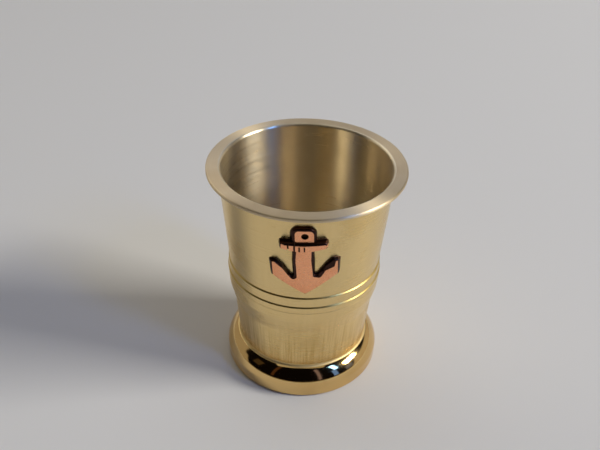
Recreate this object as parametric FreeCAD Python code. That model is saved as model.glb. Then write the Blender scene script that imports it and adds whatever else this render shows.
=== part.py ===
import FreeCAD, Part
import math
import os

# Turned brass shot cup on a socketed brass foot, with a copper anchor badge soldered to its wall.
# Millimetres. The cup stands on Z = 0, its axis is Z, and the badge faces -Y.

# Driving dimensions of the cup
height = 60.4             # table to the flat top of the lip
lip_radius = 25.0         # outside of the lip
lip_thickness = 1.05
lip_top_round = 0.45      # outer top edge of the lip
lip_under_round = 0.4     # outer lower edge of the lip
lip_inner_round = 0.8     # inner top edge of the lip
lip_cove = 2.0            # hollow under the lip, where it runs into the wall
wall_radius_low = 17.75   # outside of the wall where it meets the foot
wall_radius_high = 22.05  # outside of the wall at lip_root
lip_root = 58.0
wall_thickness = 0.9
floor_top = 7.5           # inside floor of the cup
floor_corner = 2.5        # radius between the inside floor and the wall

# Raised band round the middle of the wall, with two turned ledges that read as lines
band_bottom = 21.0        # where the band's slanted lower side leaves the wall
band_turn = 26.0          # top of the slanted side
band_turn_radius = 20.1
band_bottom_round = 8.0
band_turn_round = 0.8
lower_ledge = 30.6        # height of each ledge's lower edge
lower_ledge_radius = 20.45
upper_ledge = 33.45
upper_ledge_radius = 20.22
ledge_gap_radius = 20.2   # surface between the ledges, at its lower end
ledge_rise = 0.33
ledge_round = 0.1

# Spigot under the cup, in the foot's socket
spigot_radius = 17.0
spigot_bottom = 4.8
spigot_chamfer = 0.4
wall_bottom = 8.3         # shoulder over the spigot

# Foot
foot_radius = 21.3
foot_land = 7.95          # top of the foot, round the socket
foot_land_radius = 18.3
foot_side_top = 3.67      # where the upright side starts to lean in
foot_side_round = 1.5
foot_shoulder = 6.35      # where the leaning side's line meets the slope's line
foot_shoulder_radius = 20.58
foot_shoulder_round = 7.0
foot_edge_round = 0.9     # lower outer edge
recess_radius = 15.5      # relief turned under the foot, so that it stands on a ring
recess_depth = 1.2
recess_round = 0.8

# Braze between the foot and the cup
braze_top = 8.65          # where the fillet of braze ends on the wall
braze_hollow = 0.35       # place of the fillet's middle, from the wall's shoulder to the fillet's chord

# Badge: an anchor cut from copper plate and curved to the wall
badge_centre = 46.0       # height about which the badge is tilted
badge_tilt = 2.2          # degrees, right-hand fluke up
badge_thickness = 1.05
badge_bevel = 0.4
shank_half_width = 2.4
head_half_width = 2.8
stock_thickness = 1.7     # the anchor's cross bar stands proud of the plate
stock_bevel = 0.55
eye_radius = 0.85
eye_place = (0.35, 54.25)
notch_places = (-3.6, -2.15, -1.0, 0.2)
notch_width = 0.35
notch_depth = 0.5
notch_bottom = 49.7
notch_top = 51.7
cutter_reach = 3.0        # cuts run this far out from the wall
layer_bottom = 30.0       # layers of the badge are taken from here up to the lip
solder_film = 0.1         # between the badge and the wall
solder_margin = 0.5       # how far the film stops inside the badge's outline

Z_AXIS = FreeCAD.Vector(0, 0, 1)
Y_AXIS = FreeCAD.Vector(0, 1, 0)


def wall_radius(z):
    """Outside radius of the plain tapered wall at height z."""
    taper = (wall_radius_high - wall_radius_low) / (lip_root - wall_bottom)
    return wall_radius_low + taper * (z - wall_bottom)


def in_section(a, b):
    """Point a out from the axis or across, and b up, in the XZ plane."""
    return FreeCAD.Vector(a, 0, b)


def rounded_outline(corners):
    """Closed face in the XZ plane through corners (a, b) or (a, b, radius); a radius rounds its corner."""
    count = len(corners)
    stops = []
    for i, corner in enumerate(corners):
        here = in_section(corner[0], corner[1])
        radius = corner[2] if len(corner) > 2 else 0
        if not radius:
            stops.append((here, None, here))
            continue
        before = in_section(*corners[i - 1][:2]) - here
        after = in_section(*corners[(i + 1) % count][:2]) - here
        before.normalize()
        after.normalize()
        half = before.getAngle(after) / 2
        reach = radius / math.tan(half)
        bisector = before + after
        bisector.normalize()
        middle = here + bisector * (radius / math.sin(half) - radius)
        stops.append((here + before * reach, middle, here + after * reach))
    edges = []
    for i, (start, middle, end) in enumerate(stops):
        if middle is not None:
            edges.append(Part.Arc(start, middle, end).toShape())
        following = stops[(i + 1) % count][0]
        if end.distanceToPoint(following) > 1e-6:
            edges.append(Part.LineSegment(end, following).toShape())
    return Part.Face(Part.Wire(edges))


def turned(corners):
    """Solid of revolution about Z from a half section."""
    return rounded_outline(corners).revolve(FreeCAD.Vector(), Z_AXIS, 360)


def make_cup_body():
    """Wall, band, lip, floor and spigot, turned in one piece."""
    inner_top = wall_radius(height) - wall_thickness
    inner_floor = wall_radius(floor_top) - wall_thickness
    upper_root = upper_ledge + ledge_rise
    lower_root = lower_ledge + ledge_rise
    return turned([
        (0, spigot_bottom),
        (spigot_radius - spigot_chamfer, spigot_bottom),
        (spigot_radius, spigot_bottom + spigot_chamfer),
        (spigot_radius, wall_bottom),
        (wall_radius_low, wall_bottom),
        (wall_radius(band_bottom), band_bottom, band_bottom_round),
        (band_turn_radius, band_turn, band_turn_round),
        (lower_ledge_radius, lower_ledge, ledge_round),
        (ledge_gap_radius, lower_root, ledge_round),
        (upper_ledge_radius, upper_ledge, ledge_round),
        (wall_radius(upper_root), upper_root, ledge_round),
        (wall_radius(height - lip_thickness), height - lip_thickness, lip_cove),
        (lip_radius, height - lip_thickness, lip_under_round),
        (lip_radius, height, lip_top_round),
        (inner_top, height, lip_inner_round),
        (inner_floor, floor_top, floor_corner),
        (0, floor_top),
    ])


def make_foot_ring():
    """Foot with a sloped shoulder, a rounded edge, a socket on top and a relief underneath."""
    return turned([
        (0, recess_depth),
        (recess_radius, recess_depth, recess_round),
        (recess_radius + recess_round, 0),
        (foot_radius, 0, foot_edge_round),
        (foot_radius, foot_side_top, foot_side_round),
        (foot_shoulder_radius, foot_shoulder, foot_shoulder_round),
        (foot_land_radius, foot_land),
        (spigot_radius, foot_land),
        (spigot_radius, spigot_bottom),
        (0, spigot_bottom),
    ])


def make_foot_braze():
    """Ring of brazing metal under the wall's shoulder, with a hollow fillet outside."""
    low = in_section(foot_land_radius, foot_land)
    high = in_section(wall_radius(braze_top), braze_top)
    hollow = in_section(
        wall_radius_low + braze_hollow * (foot_land_radius - wall_radius_low),
        foot_land + braze_hollow * (braze_top - foot_land),
    )
    inside = in_section(spigot_radius, foot_land)
    inside_top = in_section(spigot_radius, wall_bottom)
    shoulder = in_section(wall_radius_low, wall_bottom)
    edges = [
        Part.LineSegment(inside, low).toShape(),
        Part.Arc(low, hollow, high).toShape(),
        Part.LineSegment(high, shoulder).toShape(),
        Part.LineSegment(shoulder, inside_top).toShape(),
        Part.LineSegment(inside_top, inside).toShape(),
    ]
    return Part.Face(Part.Wire(edges)).revolve(FreeCAD.Vector(), Z_AXIS, 360)


def wall_layer(inner, outer):
    """Shell that follows the plain wall, from inner to outer millimetres out from it."""
    return turned([
        (wall_radius(layer_bottom) + inner, layer_bottom),
        (wall_radius(layer_bottom) + outer, layer_bottom),
        (wall_radius(height) + outer, height),
        (wall_radius(height) + inner, height),
    ])


def on_wall(face, inner, outer):
    """Outline pushed forward through the wall's front, cut to a layer and tilted to the badge's angle."""
    prism = face.extrude(FreeCAD.Vector(0, -2 * lip_radius, 0))
    centre = FreeCAD.Vector(0, 0, badge_centre)
    prism = prism.rotate(centre, Y_AXIS, -badge_tilt)
    return prism.common(wall_layer(inner, outer))


def mirrored(right_side):
    """Outline from its right-hand corners, listed from bottom to top, and their mirror images."""
    off_axis = [corner for corner in right_side if corner[0] != 0]
    left_side = [(-across, up, *rounding) for across, up, *rounding in reversed(off_axis)]
    return right_side + left_side


def anchor_corners():
    """Crown, fluke, arm, shank and head of the anchor."""
    return mirrored([
        (0, 35.8),
        (8.1, 41.7, 0.7),
        (8.5, 46.6, 0.7),
        (6.3, 46.5, 0.9),
        (3.3, 42.1, 0.5),
        (shank_half_width, 42.1, 0.35),
        (shank_half_width, 50.8),
        (head_half_width, 52.0),
        (head_half_width, 56.6, 1.9),
    ])


def stock_corners():
    """Cross bar of the anchor, its lower side bowed down at the middle."""
    return mirrored([
        (0, 49.9, 14.0),
        (5.7, 50.8, 0.7),
        (5.5, 52.7, 0.7),
        (0, 53.0),
    ])


def front_edges(solid, outer):
    """Edges of a layer that lie on its outer cone."""
    found = []
    for edge in solid.Edges:
        points = edge.discretize(7)
        gaps = [abs(math.hypot(p.x, p.y) - wall_radius(p.z) - outer) for p in points]
        if max(gaps) < 0.02:
            found.append(edge)
    return found


def bevelled_layer(face, thickness, bevel):
    """Plate of a given thickness over the solder film, bevelled round its front."""
    plate = on_wall(face, solder_film, thickness).Solids[0]
    return plate.makeChamfer(bevel, front_edges(plate, thickness))


def notch_face(place):
    """Upright slot of the row cut in the cross bar's lower half."""
    left = place - notch_width / 2
    right = place + notch_width / 2
    corners = [(left, notch_bottom), (right, notch_bottom), (right, notch_top), (left, notch_top)]
    return rounded_outline(corners)


def make_anchor_badge():
    """Anchor plate with its thicker cross bar, the eye through its head and the notches in the bar."""
    plate = bevelled_layer(rounded_outline(anchor_corners()), badge_thickness, badge_bevel)
    stock = bevelled_layer(rounded_outline(stock_corners()), stock_thickness, stock_bevel)
    eye = Part.Face(Part.Wire(Part.makeCircle(eye_radius, in_section(*eye_place), Y_AXIS)))
    badge = plate.fuse(stock)
    badge = badge.cut(on_wall(eye, solder_film, cutter_reach))
    for place in notch_places:
        badge = badge.cut(on_wall(notch_face(place), stock_thickness - notch_depth, cutter_reach))
    return badge.removeSplitter()


def make_badge_solder():
    """Film of solder that holds the badge, a little smaller than the badge all round."""
    face = rounded_outline(anchor_corners())
    return on_wall(face.makeOffset2D(-solder_margin), 0, solder_film)


def save(name, shape):
    """Writes one piece, which has to be a single sound solid."""
    solids = shape.Solids
    if len(solids) != 1 or not solids[0].isValid():
        raise ValueError(name + " is not one sound solid")
    solids[0].exportStep(os.path.join("parts", name + ".step"))
    print(name, "%.1f cubic millimetres" % solids[0].Volume)


os.makedirs("parts", exist_ok=True)
save("cup_body", make_cup_body())
save("foot_ring", make_foot_ring())
save("foot_braze", make_foot_braze())
save("anchor_badge", make_anchor_badge())
save("badge_solder", make_badge_solder())
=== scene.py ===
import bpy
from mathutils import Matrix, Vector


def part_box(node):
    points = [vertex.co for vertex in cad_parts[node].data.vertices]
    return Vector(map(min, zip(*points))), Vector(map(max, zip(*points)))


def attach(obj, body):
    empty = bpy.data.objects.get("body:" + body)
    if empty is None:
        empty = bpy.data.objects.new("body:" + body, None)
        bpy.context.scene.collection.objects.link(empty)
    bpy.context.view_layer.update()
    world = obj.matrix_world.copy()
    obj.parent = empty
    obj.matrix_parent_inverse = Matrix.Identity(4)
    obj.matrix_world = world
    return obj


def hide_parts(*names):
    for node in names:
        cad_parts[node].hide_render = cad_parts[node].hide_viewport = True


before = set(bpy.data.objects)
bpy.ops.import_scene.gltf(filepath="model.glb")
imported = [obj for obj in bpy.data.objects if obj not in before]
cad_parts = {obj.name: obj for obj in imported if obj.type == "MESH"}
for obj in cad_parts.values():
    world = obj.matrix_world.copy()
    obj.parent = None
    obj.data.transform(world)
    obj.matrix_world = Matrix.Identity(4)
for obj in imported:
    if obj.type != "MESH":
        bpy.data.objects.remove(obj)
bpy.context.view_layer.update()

import math

import bmesh
import bpy
from mathutils import Matrix, Quaternion, Vector

# Turned brass shot cup with a copper anchor badge, standing on a pale floor.
# The cup's sizes are millimetres, and MM turns them into Blender's metres. The stage is in metres.
# A point of a turned section is (distance from the axis, height).
MM = 0.001

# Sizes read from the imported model
cup_low, cup_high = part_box("cup_body")
foot_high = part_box("foot_ring")[1]
HEIGHT = cup_high.z / MM
LIP_RADIUS = cup_high.x / MM
FOOT_RADIUS = foot_high.x / MM
FOOT_LAND = foot_high.z / MM
SPIGOT_BOTTOM = cup_low.z / MM

# Cup: wall, floor, lip, and the spigot that stands in the foot
WALL_FOOT = 8.3
WALL_FOOT_RADIUS = 17.75
WALL_TOP = 58.0
WALL_TOP_RADIUS = 22.05
WALL_THICKNESS = 0.9
FLOOR_TOP = 7.5
FLOOR_CORNER = 2.5
SPIGOT_RADIUS = 17.0
SPIGOT_ROUND = 0.4
SEAM_ROUND = 0.1          # corners hidden between the cup and the foot
LIP_THICKNESS = 1.05
LIP_TOP_ROUND = 0.45
LIP_UNDER_ROUND = 0.4
LIP_INNER_ROUND = 0.8
LIP_COVE = 2.0            # hollow under the lip
INSIDE_REACH = 0.75       # share of the lip's inner rounding that has the inside's finish

# Raised band, with one fine line scribed below its two turned ledges
BAND_BOTTOM = 21.0
BAND_BOTTOM_ROUND = 8.0
BAND_TURN = (20.1, 26.0)
BAND_TURN_ROUND = 0.8
SCRIBED_LINE = (20.32, 28.9)
SCRIBED_HALF_WIDTH = 0.2
SCRIBED_DEPTH = 0.07
SCRIBED_ROUND = 0.05
LOWER_LEDGE = (20.45, 30.6)
UPPER_LEDGE = (20.22, 33.45)
LEDGE_GAP_RADIUS = 20.2   # surface between the ledges, at its lower end
LEDGE_RISE = 0.33
LEDGE_ROUND = 0.1

# Foot
FOOT_LAND_RADIUS = 18.3
FOOT_EDGE_ROUND = 0.9
FOOT_SIDE_TOP = 3.67
FOOT_SIDE_ROUND = 1.5
FOOT_SHOULDER = (20.58, 6.35)
FOOT_SHOULDER_ROUND = 7.0
SOCKET_ROUND = 0.2
RECESS_RADIUS = 15.5
RECESS_DEPTH = 1.2
RECESS_ROUND = 0.8
RECESS_EDGE_ROUND = 0.3

# Badge
BADGE_CENTRE = 46.0       # height about which the badge is tilted
BADGE_TILT = math.radians(2.2)
PLATE_THICKNESS = 1.05
PLATE_SIDE = 0.3          # plain side of the plate, under its rounded bevel
STOCK_THICKNESS = 1.7
STOCK_SIDE = 0.5
SOLDER_FILM = 0.1
BEAD_WIDTH = 0.12         # how far the solder shows round the badge

# How finely the pieces are divided
TURNS = 256
LONGEST_RUN = 1.2
ARC_STEP = math.radians(9)
FEWEST_ARC_STEPS = 3
ARC_POINTS = 6            # points along each corner of the badge's outlines
RUN_POINTS = 8            # points along each of their straight runs
BEVEL_STEPS = 6
BADGE_SLICES = 40
EYE_SIDES = 32
SHARP_ANGLE = math.radians(38)   # the badge's edges are crisp where they turn by more than this

# Material slots of the cup, and of the badge
WALL, INSIDE, LIP, SHADED_LEDGE = range(4)
BRIGHT, DARK = range(2)


# ---------------------------------------------------------------- turned pieces

def wall_radius(z):
    """Outside radius of the plain tapered wall at height z."""
    taper = (WALL_TOP_RADIUS - WALL_FOOT_RADIUS) / (WALL_TOP - WALL_FOOT)
    return WALL_FOOT_RADIUS + taper * (z - WALL_FOOT)


def straight_run(start, end):
    """Points between start and end, without either."""
    steps = max(1, math.ceil((end - start).length / LONGEST_RUN))
    return [start.lerp(end, i / steps) for i in range(1, steps)]


def rounded_profile(corners):
    """Half section from the axis round to the axis, with a tangent arc at each corner (r, z, radius).

    Returns (point, normal) pairs. The solid lies to the left of the direction of travel."""
    places = [Vector(corner[:2]) for corner in corners]
    ahead = [(b - a).normalized() for a, b in zip(places, places[1:])]
    samples = [(places[0], Vector((ahead[0].y, -ahead[0].x)))]
    leave = places[0]
    for i in range(1, len(places) - 1):
        radius = corners[i][2]
        turn = ahead[i - 1].angle_signed(ahead[i])
        reach = radius * math.tan(abs(turn) / 2)
        start = places[i] - ahead[i - 1] * reach
        normal = Vector((ahead[i - 1].y, -ahead[i - 1].x))
        samples += [(point, normal) for point in straight_run(leave, start)]
        side = 1 if turn < 0 else -1
        centre = start + normal * -side * radius
        steps = max(FEWEST_ARC_STEPS, math.ceil(abs(turn) / ARC_STEP))
        for k in range(steps + 1):
            outward = Matrix.Rotation(-turn * k / steps, 2) @ normal
            samples.append((centre + outward * side * radius, outward))
        leave = places[i] + ahead[i] * reach
    normal = Vector((ahead[-1].y, -ahead[-1].x))
    samples += [(point, normal) for point in straight_run(leave, places[-1])]
    samples.append((places[-1], normal))
    return samples


def turned_mesh(name, corners):
    """Closed mesh of revolution, with the profile's own normals."""
    on_axis = 1e-6
    verts = []
    normals = []
    rings = []
    for point, normal in rounded_profile(corners):
        if point.x < on_axis:
            rings.append([len(verts)] * TURNS)
            verts.append((0, 0, point.y * MM))
            normals.append((0, 0, math.copysign(1, normal.y)))
            continue
        rings.append(list(range(len(verts), len(verts) + TURNS)))
        for k in range(TURNS):
            angle = 2 * math.pi * k / TURNS
            across = Vector((math.cos(angle), math.sin(angle), 0))
            verts.append(across * point.x * MM + Vector((0, 0, point.y * MM)))
            normals.append(across * normal.x + Vector((0, 0, normal.y)))
    faces = []
    for lower, upper in zip(rings, rings[1:]):
        for k in range(TURNS):
            loop = [lower[k], lower[(k + 1) % TURNS], upper[(k + 1) % TURNS], upper[k]]
            faces.append(list(dict.fromkeys(loop)))
    mesh = bpy.data.meshes.new(name)
    mesh.from_pydata(verts, [], faces)
    mesh.shade_smooth()
    mesh.normals_split_custom_set_from_vertices(normals)
    return mesh


def new_piece(name, mesh, materials):
    """Object for a mesh, with its materials."""
    piece = bpy.data.objects.new(name, mesh)
    bpy.context.scene.collection.objects.link(piece)
    for material in materials:
        mesh.materials.append(material)
    return piece


def scribed_line(radius, z):
    """Corners of a fine line cut by the lathe tool."""
    return [
        (radius, z - SCRIBED_HALF_WIDTH, SCRIBED_ROUND),
        (radius - SCRIBED_DEPTH, z, SCRIBED_ROUND),
        (radius, z + SCRIBED_HALF_WIDTH, SCRIBED_ROUND),
    ]


def cup_corners():
    """Half section of the cup, from the spigot's underside up the wall, over the lip and down inside."""
    inner_top = wall_radius(HEIGHT) - WALL_THICKNESS
    inner_floor = wall_radius(FLOOR_TOP) - WALL_THICKNESS
    lip_bottom = HEIGHT - LIP_THICKNESS
    upper_root = UPPER_LEDGE[1] + LEDGE_RISE
    return [
        (0, SPIGOT_BOTTOM, 0),
        (SPIGOT_RADIUS, SPIGOT_BOTTOM, SPIGOT_ROUND),
        (SPIGOT_RADIUS, WALL_FOOT, SEAM_ROUND),
        (WALL_FOOT_RADIUS, WALL_FOOT, SEAM_ROUND),
        (wall_radius(BAND_BOTTOM), BAND_BOTTOM, BAND_BOTTOM_ROUND),
        (*BAND_TURN, BAND_TURN_ROUND),
        *scribed_line(*SCRIBED_LINE),
        (*LOWER_LEDGE, LEDGE_ROUND),
        (LEDGE_GAP_RADIUS, LOWER_LEDGE[1] + LEDGE_RISE, LEDGE_ROUND),
        (*UPPER_LEDGE, LEDGE_ROUND),
        (wall_radius(upper_root), upper_root, LEDGE_ROUND),
        (wall_radius(lip_bottom), lip_bottom, LIP_COVE),
        (LIP_RADIUS, lip_bottom, LIP_UNDER_ROUND),
        (LIP_RADIUS, HEIGHT, LIP_TOP_ROUND),
        (inner_top, HEIGHT, LIP_INNER_ROUND),
        (inner_floor, FLOOR_TOP, FLOOR_CORNER),
        (0, FLOOR_TOP, 0),
    ]


def cup_finish(face):
    """Material slot of one face of the cup."""
    radius = math.hypot(face.center.x, face.center.y) / MM
    z = face.center.z / MM
    inner_edge = wall_radius(z) - WALL_THICKNESS + INSIDE_REACH * LIP_INNER_ROUND
    if z > (SPIGOT_BOTTOM + FLOOR_TOP) / 2 and radius < inner_edge:
        return INSIDE
    if z > HEIGHT - LIP_THICKNESS:
        return LIP
    for ledge in (LOWER_LEDGE, UPPER_LEDGE):
        if ledge[1] - LEDGE_ROUND < z < ledge[1] + LEDGE_RISE + LEDGE_ROUND:
            return SHADED_LEDGE
    return WALL


def foot_corners():
    """Half section of the foot, from its underside round the side and over the land into the socket."""
    return [
        (0, RECESS_DEPTH, 0),
        (RECESS_RADIUS, RECESS_DEPTH, RECESS_ROUND),
        (RECESS_RADIUS + RECESS_ROUND, 0, RECESS_EDGE_ROUND),
        (FOOT_RADIUS, 0, FOOT_EDGE_ROUND),
        (FOOT_RADIUS, FOOT_SIDE_TOP, FOOT_SIDE_ROUND),
        (*FOOT_SHOULDER, FOOT_SHOULDER_ROUND),
        (FOOT_LAND_RADIUS, FOOT_LAND, SEAM_ROUND),
        (SPIGOT_RADIUS, FOOT_LAND, SEAM_ROUND),
        (SPIGOT_RADIUS, SPIGOT_BOTTOM, SOCKET_ROUND),
        (0, SPIGOT_BOTTOM, 0),
    ]


# ---------------------------------------------------------------- badge
# It is shaped flat, with x across, z up and y out from the wall, and then curved round the wall.

# Each row is a corner of an outline: across, up and corner radius at the wall, then on the front face.
ANCHOR = [
    (0.1, 35.9, 0.1, 0.1, 36.3, 0.1),
    (8.35, 41.7, 0.4, 7.95, 41.95, 0.2),
    (8.55, 46.2, 0.5, 7.95, 45.9, 0.1),
    (6.8, 46.5, 0.7, 7.5, 45.8, 0.1),
    (4.9, 44.7, 0.4, 7.15, 44.2, 0.3),
    (3.75, 43.0, 0.4, 5.1, 43.4, 0.4),
    (3.1, 42.2, 0.4, 3.8, 41.2, 0.6),
    (2.4, 42.2, 0.3, 2.1, 41.7, 0.5),
    (2.5, 46.4, 2.0, 1.7, 46.8, 2.0),
    (2.3, 50.5, 0.3, 1.8, 50.1, 0.3),
    (3.05, 52.5, 0.2, 2.4, 52.1, 0.2),
    (3.0, 56.5, 1.9, 2.4, 55.75, 1.1),
    (-2.95, 56.5, 1.9, -1.95, 55.75, 0.9),
    (-3.05, 52.5, 0.2, -1.95, 52.1, 0.2),
    (-2.55, 50.5, 0.3, -1.7, 50.1, 0.3),
    (-2.75, 46.4, 2.0, -1.95, 46.8, 2.0),
    (-2.6, 42.1, 0.3, -1.75, 41.4, 0.5),
    (-3.1, 41.8, 0.4, -2.8, 40.75, 0.6),
    (-4.0, 42.4, 0.6, -3.9, 42.1, 0.6),
    (-5.3, 44.5, 0.6, -5.1, 44.0, 0.6),
    (-6.7, 46.0, 0.5, -7.1, 45.7, 0.1),
    (-8.3, 46.1, 0.5, -7.6, 45.6, 0.1),
    (-8.0, 41.5, 0.4, -7.5, 41.75, 0.2),
]
STOCK = [
    (0.0, 49.8, 6.0, 0.0, 49.9, 6.0),
    (5.75, 50.7, 0.6, 5.3, 50.8, 0.3),
    (5.6, 52.5, 0.6, 5.15, 51.85, 0.3),
    (0.0, 52.7, 6.0, 0.0, 51.8, 6.0),
    (-4.4, 52.55, 0.8, -4.4, 51.85, 0.3),
    (-5.6, 52.5, 0.5, -5.2, 52.2, 0.2),
    (-5.75, 50.7, 0.6, -5.3, 50.8, 0.3),
]

# Bevels rubbed bright: the run after a corner, and the strip of the edge from which it is bright
RUBBED_ANCHOR = {0: 4, len(ANCHOR) - 1: 4}
RUBBED_STOCK = {0: 4, 1: 2, len(STOCK) - 1: 4}

EYE = (0.35, 54.25)
EYE_RADIUS = 0.85
# Each notch of the cross bar: across, lower end, upper end and half width
NOTCHES = [
    (-3.6, 50.1, 52.2, 0.2),
    (-2.15, 49.0, 53.0, 0.22),
    (-1.0, 49.6, 51.6, 0.2),
    (0.2, 49.6, 51.6, 0.17),
]
NOTCH_FLOOR = 1.0
CUTTER_BEHIND = -0.5      # the eye's cutter starts behind the badge
CUTTER_AHEAD = 3.0        # every cutter ends in front of it


def on_wall(x, z, out):
    """Where a point of the flat badge comes, out from the wall, in metres."""
    up = z - BADGE_CENTRE
    across = x * math.cos(BADGE_TILT) - up * math.sin(BADGE_TILT)
    height = x * math.sin(BADGE_TILT) + up * math.cos(BADGE_TILT) + BADGE_CENTRE
    radius = wall_radius(height) + out
    return Vector((across, -math.sqrt(radius * radius - across * across), height)) * MM


def rounded_loop(corners):
    """Closed outline through corners (x, z, radius), with the same number of points for any corners."""
    count = len(corners)
    arcs = []
    for i in range(count):
        here = Vector(corners[i][:2])
        radius = corners[i][2]
        before = (Vector(corners[i - 1][:2]) - here).normalized()
        after = (Vector(corners[(i + 1) % count][:2]) - here).normalized()
        half = before.angle(after) / 2
        reach = radius / math.tan(half)
        centre = here + (before + after).normalized() * radius / math.sin(half)
        start = here + before * reach - centre
        end = here + after * reach - centre
        step = -start.angle_signed(end) / ARC_POINTS
        arcs.append([centre + Matrix.Rotation(step * k, 2) @ start for k in range(ARC_POINTS + 1)])
    loop = []
    for i, arc in enumerate(arcs):
        following = arcs[(i + 1) % count][0]
        loop += arc
        loop += [arc[-1].lerp(following, k / RUN_POINTS) for k in range(1, RUN_POINTS)]
    return loop


def wall_outline(corners):
    """Outline at the wall, from rows of ANCHOR or STOCK."""
    return rounded_loop([corner[:3] for corner in corners])


def face_outline(corners):
    """Outline of the front face, from rows of ANCHOR or STOCK."""
    return rounded_loop([corner[3:] for corner in corners])


def add_ring(bm, outline, out):
    """Adds an outline's points at one distance from the wall."""
    return [bm.verts.new((point.x, out, point.y)) for point in outline]


def join_rings(bm, lower, upper):
    """Adds the strip of faces between two rings."""
    count = len(lower)
    strip = []
    for k in range(count):
        following = (k + 1) % count
        strip.append(bm.faces.new([lower[k], lower[following], upper[following], upper[k]]))
    return strip


def bevelled_plate(bm, corners, thickness, side, rubbed_from):
    """Adds a closed plate to bm, from its outline at the wall to the one on its front face.

    side is how far the plain side stands before the rounded bevel starts. The edges are dark, apart
    from the straight runs in rubbed_from, which gives the strip of the edge that they are bright from."""
    base = wall_outline(corners)
    front = face_outline(corners)
    levels = [(0.0, SOLDER_FILM), (0.0, side)]
    for k in range(1, BEVEL_STEPS + 1):
        angle = math.pi / 2 * k / BEVEL_STEPS
        levels.append((1 - math.cos(angle), side + (thickness - side) * math.sin(angle)))
    rings = []
    for inset, out in levels:
        rings.append(add_ring(bm, [b.lerp(f, inset) for b, f in zip(base, front)], out))
    per_corner = len(base) // len(corners)
    for level, (lower, upper) in enumerate(zip(rings, rings[1:])):
        for k, face in enumerate(join_rings(bm, lower, upper)):
            run = k // per_corner if k % per_corner >= ARC_POINTS else None
            rubbed = level >= rubbed_from.get(run, len(levels))
            face.material_index = BRIGHT if rubbed else DARK
    bm.faces.new(rings[-1]).material_index = BRIGHT
    bm.faces.new(list(reversed(rings[0]))).material_index = DARK


def bead_plate(bm, corners):
    """Adds a flat film of solder under an outline, with a sloping bead squeezed out round it."""
    base = wall_outline(corners)
    rings = []
    for spread, out in ((BEAD_WIDTH, 0.0), (BEAD_WIDTH / 3, SOLDER_FILM)):
        outline = []
        for k, place in enumerate(base):
            along = (base[(k + 1) % len(base)] - base[k - 1]).normalized()
            outline.append(place + Vector((along.y, -along.x)) * spread)
        rings.append(add_ring(bm, outline, out))
    join_rings(bm, *rings)
    bm.faces.new(rings[1])
    bm.faces.new(list(reversed(rings[0])))


def post(bm, outline, low, high):
    """Adds a straight cutter that stands out from the badge and leaves dark faces."""
    rings = [add_ring(bm, outline, out) for out in (low, high)]
    join_rings(bm, *rings)
    bm.faces.new(rings[1])
    bm.faces.new(list(reversed(rings[0])))
    for face in bm.faces:
        face.material_index = DARK


def round_post(bm):
    """Adds the cutter for the eye."""
    outline = []
    for k in range(EYE_SIDES):
        angle = 2 * math.pi * (k + 0.5) / EYE_SIDES
        across = EYE[0] + EYE_RADIUS * math.cos(angle)
        up = EYE[1] + EYE_RADIUS * math.sin(angle)
        outline.append(Vector((across, up)))
    post(bm, outline, CUTTER_BEHIND, CUTTER_AHEAD)


def notch_post(bm, across, low, high, half_width):
    """Adds the cutter for one notch."""
    left = across - half_width
    right = across + half_width
    outline = [Vector((right, high)), Vector((left, high)), Vector((left, low)), Vector((right, low))]
    post(bm, outline, NOTCH_FLOOR, CUTTER_AHEAD)


def flat_piece(name, materials, build):
    """Piece whose flat mesh is made by build, before it is curved round the wall."""
    bm = bmesh.new()
    build(bm)
    bmesh.ops.recalc_face_normals(bm, faces=bm.faces)
    mesh = bpy.data.meshes.new(name)
    bm.to_mesh(mesh)
    bm.free()
    return new_piece(name, mesh, materials)


def combine(piece, other, operation):
    """Applies an exact boolean of other on piece and removes other."""
    modifier = piece.modifiers.new("combine", "BOOLEAN")
    modifier.operation = operation
    modifier.solver = "EXACT"
    modifier.object = other
    graph = bpy.context.evaluated_depsgraph_get()
    mesh = bpy.data.meshes.new_from_object(piece.evaluated_get(graph))
    piece.modifiers.clear()
    piece.data = mesh
    bpy.data.objects.remove(other)


def curve_round_wall(piece):
    """Bends a flat piece round the wall, cut finely enough that it follows the curve."""
    same_place = 1e-4
    on_cut = 1e-5
    bm = bmesh.new()
    bm.from_mesh(piece.data)
    bmesh.ops.remove_doubles(bm, verts=bm.verts, dist=same_place)
    low = min(v.co.x for v in bm.verts)
    high = max(v.co.x for v in bm.verts)
    for k in range(1, BADGE_SLICES):
        place = (low + (high - low) * k / BADGE_SLICES, 0, 0)
        geometry = bm.verts[:] + bm.edges[:] + bm.faces[:]
        bmesh.ops.bisect_plane(bm, geom=geometry, plane_co=place, plane_no=(1, 0, 0), dist=on_cut)
    for vert in bm.verts:
        vert.co = on_wall(vert.co.x, vert.co.z, vert.co.y)
    bmesh.ops.triangulate(bm, faces=[face for face in bm.faces if len(face.verts) > 4])
    bmesh.ops.recalc_face_normals(bm, faces=bm.faces)
    bm.to_mesh(piece.data)
    bm.free()
    piece.data.shade_smooth()
    piece.data.set_sharp_from_angle(angle=SHARP_ANGLE)


# ---------------------------------------------------------------- materials

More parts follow.
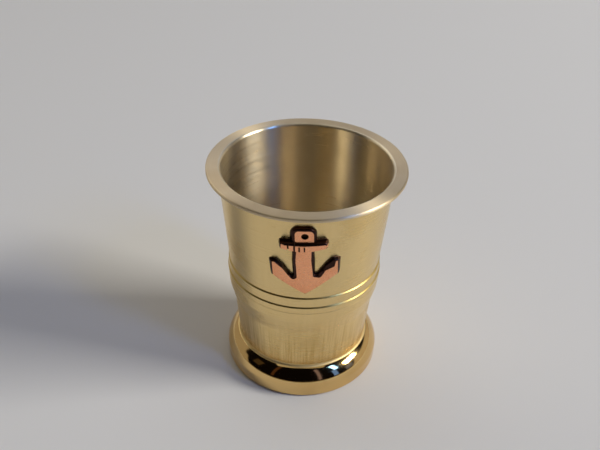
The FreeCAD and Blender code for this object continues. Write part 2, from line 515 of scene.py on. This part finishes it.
class Nodes:
    """Short calls for building a node tree."""

    def __init__(self, tree):
        self.tree = tree
        tree.nodes.clear()

    def add(self, kind, **inputs):
        node = self.tree.nodes.new(kind)
        for name, value in inputs.items():
            self.put(node, name.replace("_", " "), value)
        return node

    def put(self, node, name, value):
        socket = node.inputs[int(name)] if name.isdigit() else node.inputs[name]
        if isinstance(value, bpy.types.NodeSocket):
            self.tree.links.new(value, socket)
        else:
            socket.default_value = value

    def maths(self, operation, a, b=0.0):
        node = self.tree.nodes.new("ShaderNodeMath")
        node.operation = operation
        self.put(node, "0", a)
        self.put(node, "1", b)
        return node.outputs[0]

    def mix(self, factor, a, b):
        node = self.tree.nodes.new("ShaderNodeMix")
        node.data_type = "RGBA"
        self.put(node, "0", factor)
        self.put(node, "6", a)
        self.put(node, "7", b)
        return node.outputs[2]

    def fit(self, value, low, high, to_low=0.0, to_high=1.0, smooth=False):
        node = self.tree.nodes.new("ShaderNodeMapRange")
        node.interpolation_type = "SMOOTHSTEP" if smooth else "LINEAR"
        for i, number in enumerate((value, low, high, to_low, to_high)):
            self.put(node, str(i), number)
        return node.outputs[0]

    def noise(self, place, scale, detail):
        return self.add("ShaderNodeTexNoise", Vector=place, Scale=scale, Detail=detail).outputs[0]

    def place(self):
        return self.add("ShaderNodeTexCoord").outputs["Object"]


def colour(r, g, b):
    """Linear colour with full alpha."""
    return (r, g, b, 1)


def new_material(name):
    """Material with a plain shader: the material, its node tree and the shader."""
    material = bpy.data.materials.new(name)
    material.use_nodes = True
    n = Nodes(material.node_tree)
    shader = n.add("ShaderNodeBsdfPrincipled")
    n.add("ShaderNodeOutputMaterial", Surface=shader.outputs[0])
    return material, n, shader


def turned_coordinates(n):
    """Angle round the axis in radians, and distance from it and height in metres."""
    x, y, z = n.add("ShaderNodeSeparateXYZ", Vector=n.place()).outputs
    angle = n.maths("ARCTAN2", y, x)
    radius = n.maths("SQRT", n.maths("ADD", n.maths("MULTIPLY", x, x), n.maths("MULTIPLY", y, y)))
    return angle, radius, z


def ring_marks(n, angle, radius, z):
    """Noise stretched round the axis, as left by a lathe tool."""
    fineness = 9000.0
    drift = 0.3
    place = n.add(
        "ShaderNodeCombineXYZ",
        X=n.maths("MULTIPLY", radius, fineness),
        Y=n.maths("MULTIPLY", z, fineness),
        Z=n.maths("MULTIPLY", angle, drift),
    )
    return n.noise(place.outputs[0], 1.0, 2.0)


def upright_streaks(n, angle, z):
    """Painted reflection: noise stretched up the wall, strongest under the band, for the streaks the turned
    wall reflects.
    """
    round_scale = 34.0
    upright_scale = 60.0
    strong_below = 13 * MM
    weak_above = 27 * MM
    place = n.add(
        "ShaderNodeCombineXYZ",
        X=n.maths("MULTIPLY", n.maths("COSINE", angle), round_scale),
        Y=n.maths("MULTIPLY", n.maths("SINE", angle), round_scale),
        Z=n.maths("MULTIPLY", z, upright_scale),
    )
    streak = n.fit(n.noise(place.outputs[0], 1.0, 3.0), 0.34, 0.72, smooth=True)
    strength = n.fit(z, strong_below, weak_above, 1.0, 0.15, smooth=True)
    return n.maths("MULTIPLY", streak, strength)


def brass(name, base, tarnish_and_reflection_colour, roughness, anisotropy, marks=0.0, painted_streaks=0.0, painted_foot_shade=0.0):
    """Lathe-turned brass: ring marks, painted reflection of upright streaks, patches of tarnish, and
    painted shade above the foot.
    """
    tarnish_colour = 0.4
    tarnish_roughness = 0.06
    painted_foot_shade_height = 2.2
    painted_foot_shade_colour = colour(0.16, 0.10, 0.03)
    smoother = 0.85
    rougher = 1.15
    material, n, shader = new_material(name)
    angle, radius, z = turned_coordinates(n)
    rings = ring_marks(n, angle, radius, z)
    tarnish = n.fit(n.noise(n.place(), 90.0, 5.0), 0.42, 0.72, smooth=True)
    # Painted reflection: the upright streaks darken the wall towards the same darker colour as the real
    # tarnish.
    painted_streak_mask = n.maths("MULTIPLY", upright_streaks(n, angle, z), painted_streaks)
    tarnish_and_reflection_mask = n.maths("MAXIMUM", n.maths("MULTIPLY", tarnish, tarnish_colour), painted_streak_mask)
    # Painted shade: the wall darkens towards its seam with the foot, where shade falls.
    painted_foot_shade_mask = n.fit(z, WALL_FOOT * MM, (WALL_FOOT + painted_foot_shade_height) * MM, painted_foot_shade, 0.0, smooth=True)
    n.put(shader, "Base Color", n.mix(painted_foot_shade_mask, n.mix(tarnish_and_reflection_mask, base, tarnish_and_reflection_colour), painted_foot_shade_colour))
    n.put(shader, "Metallic", 1.0)
    rough = n.fit(rings, 0.3, 0.7, roughness * smoother, roughness * rougher)
    n.put(shader, "Roughness", n.maths("ADD", rough, n.maths("MULTIPLY", tarnish, tarnish_roughness)))
    n.put(shader, "Anisotropic", anisotropy)
    n.put(shader, "Anisotropic Rotation", 0.25)
    tangent = n.add("ShaderNodeTangent")
    tangent.direction_type = "RADIAL"
    tangent.axis = "Z"
    n.put(shader, "Tangent", tangent.outputs[0])
    bump = n.add("ShaderNodeBump", Height=n.maths("MULTIPLY", rings, marks), Distance=MM)
    n.put(shader, "Normal", bump.outputs[0])
    return material


def copper(name, bright, worn, low_roughness, high_roughness, depth):
    """Finely grained copper of the badge, bare or under patina."""
    material, n, shader = new_material(name)
    fine = n.noise(n.place(), 900.0, 3.0)
    wide = n.noise(n.place(), 260.0, 3.0)
    n.put(shader, "Base Color", n.mix(n.fit(wide, 0.35, 0.7, smooth=True), bright, worn))
    n.put(shader, "Metallic", 1.0)
    n.put(shader, "Roughness", n.fit(fine, 0.3, 0.7, low_roughness, high_roughness))
    bump = n.add("ShaderNodeBump", Height=fine, Distance=depth * MM)
    n.put(shader, "Normal", bump.outputs[0])
    return material


def tarnished_solder():
    """Dark, dull solder round the badge."""
    material, n, shader = new_material("tarnished_solder")
    grain = n.noise(n.place(), 900.0, 5.0)
    n.put(shader, "Base Color", n.mix(grain, colour(0.16, 0.08, 0.04), colour(0.05, 0.025, 0.015)))
    n.put(shader, "Metallic", 1.0)
    n.put(shader, "Roughness", n.fit(grain, 0.3, 0.7, 0.4, 0.6))
    return material


def pale_floor():
    """Plain matt surface under the cup."""
    material, n, shader = new_material("floor")
    n.put(shader, "Base Color", colour(0.74, 0.725, 0.69))
    n.put(shader, "Roughness", 0.9)
    n.put(shader, "Specular IOR Level", 0.1)
    return material


# ---------------------------------------------------------------- pieces

def make_cup():
    """Cup, with a finish each for its wall, inside, lip and ledges; the inside and lip are paler, painted
    light, and the ledges darker, painted shade.
    """
    wall = brass(
        "turned_brass", colour(0.88, 0.66, 0.31), colour(0.62, 0.40, 0.12), 0.24, 0.8,
        marks=0.0007, painted_streaks=0.75, painted_foot_shade=0.2,
    )
    # Painted light: the inside's brass is paler than the wall's, for the whiter light it reflects; its
    # satin finish is real.
    inside = brass(
        "inside_brass", colour(0.82, 0.71, 0.51), colour(0.66, 0.54, 0.33), 0.31, 0.88,
        marks=0.0003,
    )
    # Painted light: the lip's brass is paler than the wall's, for the bluish light its top reflects; its
    # satin finish is real.
    lip = brass(
        "lip_brass", colour(0.75, 0.61, 0.40), colour(0.64, 0.49, 0.29), 0.44, 0.85,
        marks=0.0003,
    )
    # Painted shade: the ledges' brass is darker than the wall's, for the dark lines along them.
    ledge = brass("ledge_brass_painted_shade", colour(0.66, 0.48, 0.16), colour(0.46, 0.31, 0.09), 0.32, 0.3)
    cup = new_piece("cup", turned_mesh("cup", cup_corners()), [wall, inside, lip, ledge])
    for face in cup.data.polygons:
        face.material_index = cup_finish(face)
    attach(cup, "root")
    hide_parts("cup_body")


def make_foot():
    """Mirror-polished foot."""
    polished = brass("polished_brass", colour(0.80, 0.55, 0.23), colour(0.62, 0.40, 0.15), 0.06, 0.2)
    foot = new_piece("foot", turned_mesh("foot", foot_corners()), [polished])
    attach(foot, "root")
    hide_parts("foot_ring")


def finish_braze():
    """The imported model's own ring of braze, with a duller finish than the foot's."""
    dull = brass("dull_braze", colour(0.80, 0.60, 0.28), colour(0.58, 0.40, 0.15), 0.48, 0.0)
    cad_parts["foot_braze"].material_slots[0].material = dull


def make_anchor():
    """Anchor plate with its cross bar, eye and notches, bare on its face and dark round its edges."""
    bare = copper("badge_copper", colour(1.0, 0.47, 0.25), colour(0.93, 0.41, 0.21), 0.23, 0.31, 0.0009)
    dark_brown = colour(0.050, 0.024, 0.019)
    darker_brown = colour(0.030, 0.014, 0.011)
    patina = copper("badge_patina", dark_brown, darker_brown, 0.20, 0.27, 0.01)
    finishes = [bare, patina]
    anchor = flat_piece(
        "anchor", finishes,
        lambda bm: bevelled_plate(bm, ANCHOR, PLATE_THICKNESS, PLATE_SIDE, RUBBED_ANCHOR),
    )
    stock = flat_piece(
        "stock", finishes,
        lambda bm: bevelled_plate(bm, STOCK, STOCK_THICKNESS, STOCK_SIDE, RUBBED_STOCK),
    )
    combine(anchor, stock, "UNION")
    combine(anchor, flat_piece("eye", finishes, round_post), "DIFFERENCE")
    for row in NOTCHES:
        notch = flat_piece("notch", finishes, lambda bm: notch_post(bm, *row))
        combine(anchor, notch, "DIFFERENCE")
    curve_round_wall(anchor)
    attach(anchor, "root")
    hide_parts("anchor_badge")


def make_solder():
    """Solder under the anchor and its cross bar, showing as a thin dark line round them."""
    finish = [tarnished_solder()]
    bead = flat_piece("solder", finish, lambda bm: bead_plate(bm, ANCHOR))
    stock_bead = flat_piece("stock_solder", finish, lambda bm: bead_plate(bm, STOCK))
    combine(bead, stock_bead, "UNION")
    curve_round_wall(bead)
    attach(bead, "root")
    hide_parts("badge_solder")


# ---------------------------------------------------------------- stage, in metres and degrees

def make_floor():
    """Pale round floor, wide enough to fill the view behind the cup."""
    bpy.ops.mesh.primitive_circle_add(vertices=96, radius=4.0, fill_type="NGON")
    floor = bpy.context.object
    floor.name = "floor"
    floor.data.materials.append(pale_floor())


def direction(azimuth, elevation):
    """Unit vector towards a bearing: azimuth 0 is the camera's side (-Y), 90 is the right (+X)."""
    a = math.radians(azimuth)
    e = math.radians(elevation)
    return Vector((math.sin(a) * math.cos(e), -math.cos(a) * math.cos(e), math.sin(e)))


def window(name, azimuth, elevation, distance, width, height, radiance, tint, roll=0):
    """Soft rectangular light, aimed at the cup, given by the brightness of its face."""
    light = bpy.data.lights.new(name, "AREA")
    light.shape = "RECTANGLE"
    light.size = width
    light.size_y = height
    light.energy = radiance * math.pi * width * height
    light.color = tint
    lamp = bpy.data.objects.new(name, light)
    bpy.context.scene.collection.objects.link(lamp)
    lamp.location = direction(azimuth, elevation) * distance
    aim = direction(azimuth, elevation).to_track_quat("Z", "Y")
    lamp.rotation_euler = (aim @ Quaternion((0, 0, 1), math.radians(roll))).to_euler()
    lamp.visible_camera = False


def make_lights():
    """Windows and doors of the room, most of which show as reflections in the brass.

    Each has its bearing and elevation in degrees, its distance, width and height, its radiance and tint."""
    window("key_window", 83, 32.5, 2.5, 0.86, 0.52, 33.0, (1.0, 0.98, 0.93))
    window("blue_window", 55, 40, 2.6, 0.28, 0.9, 12.0, (0.14, 0.35, 1.0))
    window("blue_glow", 50, 18, 2.6, 0.30, 1.1, 1.2, (0.12, 0.27, 1.0))
    window("low_blue_window", 72, 13, 2.6, 0.5, 0.6, 0.4, (0.40, 0.50, 1.0))
    window("back_sky", 180, 40, 2.6, 3.1, 1.9, 0.52, (0.76, 0.82, 1.0))
    window("left_window", -130, 34, 2.6, 1.5, 0.65, 1.3, (1.0, 0.97, 0.85), roll=40)
    window("ceiling", 0, 90, 2.6, 2.6, 2.6, 0.45, (1.0, 0.95, 0.86))
    window("brown_door", -39, 32, 2.6, 0.18, 2.2, 0.06, (1.0, 0.45, 0.22))
    window("left_door", -68, 30, 2.6, 0.5, 0.9, 0.05, (1.0, 0.70, 0.40))
    window("pink_door", 27, 30, 2.6, 0.2, 2.2, 0.28, (0.80, 0.66, 1.0))


def make_world():
    """Dark room in front of the cup, and a pale band round the horizon that rises at the sides and back.

    The cup reflects this room. The camera itself sees a plain pale backdrop behind the floor."""
    pale = colour(0.34, 0.31, 0.27)
    dark = colour(0.003, 0.002, 0.002)
    world = bpy.data.worlds.new("room")
    bpy.context.scene.world = world
    world.use_nodes = True
    n = Nodes(world.node_tree)
    bearing = n.add("ShaderNodeTexCoord").outputs["Generated"]
    x, y, z = n.add("ShaderNodeSeparateXYZ", Vector=bearing).outputs
    sides = n.fit(y, -0.25, -0.05, 0.045, 0.36, smooth=True)
    rise = n.fit(y, 0.0, 0.25, 0.0, 0.55, smooth=True)
    left = n.maths("MULTIPLY", rise, n.fit(x, -0.1, 0.1, 1.0, 0.0))
    above = n.fit(n.maths("DIVIDE", z, n.maths("ADD", sides, left)), 0.85, 1.1, smooth=True)
    brighter_right = n.fit(x, 0.3, 0.9, 1.0, 1.5)
    room = n.add("ShaderNodeBackground", Color=n.mix(above, pale, dark), Strength=brighter_right)
    backdrop = n.add("ShaderNodeBackground", Color=colour(0.42, 0.41, 0.38))
    seen = n.add("ShaderNodeLightPath").outputs["Is Camera Ray"]
    both = n.add("ShaderNodeMixShader", **{"0": seen, "1": room.outputs[0], "2": backdrop.outputs[0]})
    n.add("ShaderNodeOutputWorld", Surface=both.outputs[0])


def make_camera():
    """Camera on the badge's side, about 30 degrees above the lip. Its distance is in millimetres."""
    distance = 174.3
    elevation = math.radians(29.68)
    pitch = math.radians(34.74)
    yaw = math.radians(-0.51)
    roll = math.radians(-1.49)
    camera_data = bpy.data.cameras.new("camera")
    camera_data.sensor_width = 36.0
    camera_data.lens = 42.22
    camera_data.clip_start = 0.005
    camera = bpy.data.objects.new("camera", camera_data)
    bpy.context.scene.collection.objects.link(camera)
    back = -distance * math.cos(elevation)
    up = HEIGHT + distance * math.sin(elevation)
    camera.location = Vector((0, back, up)) * MM
    heading = Matrix.Rotation(-yaw, 4, "Z")
    tilt = Matrix.Rotation(math.pi / 2 - pitch, 4, "X")
    lean = Matrix.Rotation(-roll, 4, "Z")
    camera.rotation_euler = (heading @ tilt @ lean).to_euler()
    bpy.context.scene.camera = camera


make_camera()
make_world()
make_lights()
make_floor()
make_cup()
make_foot()
finish_braze()
make_anchor()
make_solder()
bpy.context.scene.view_settings.view_transform = "Standard"
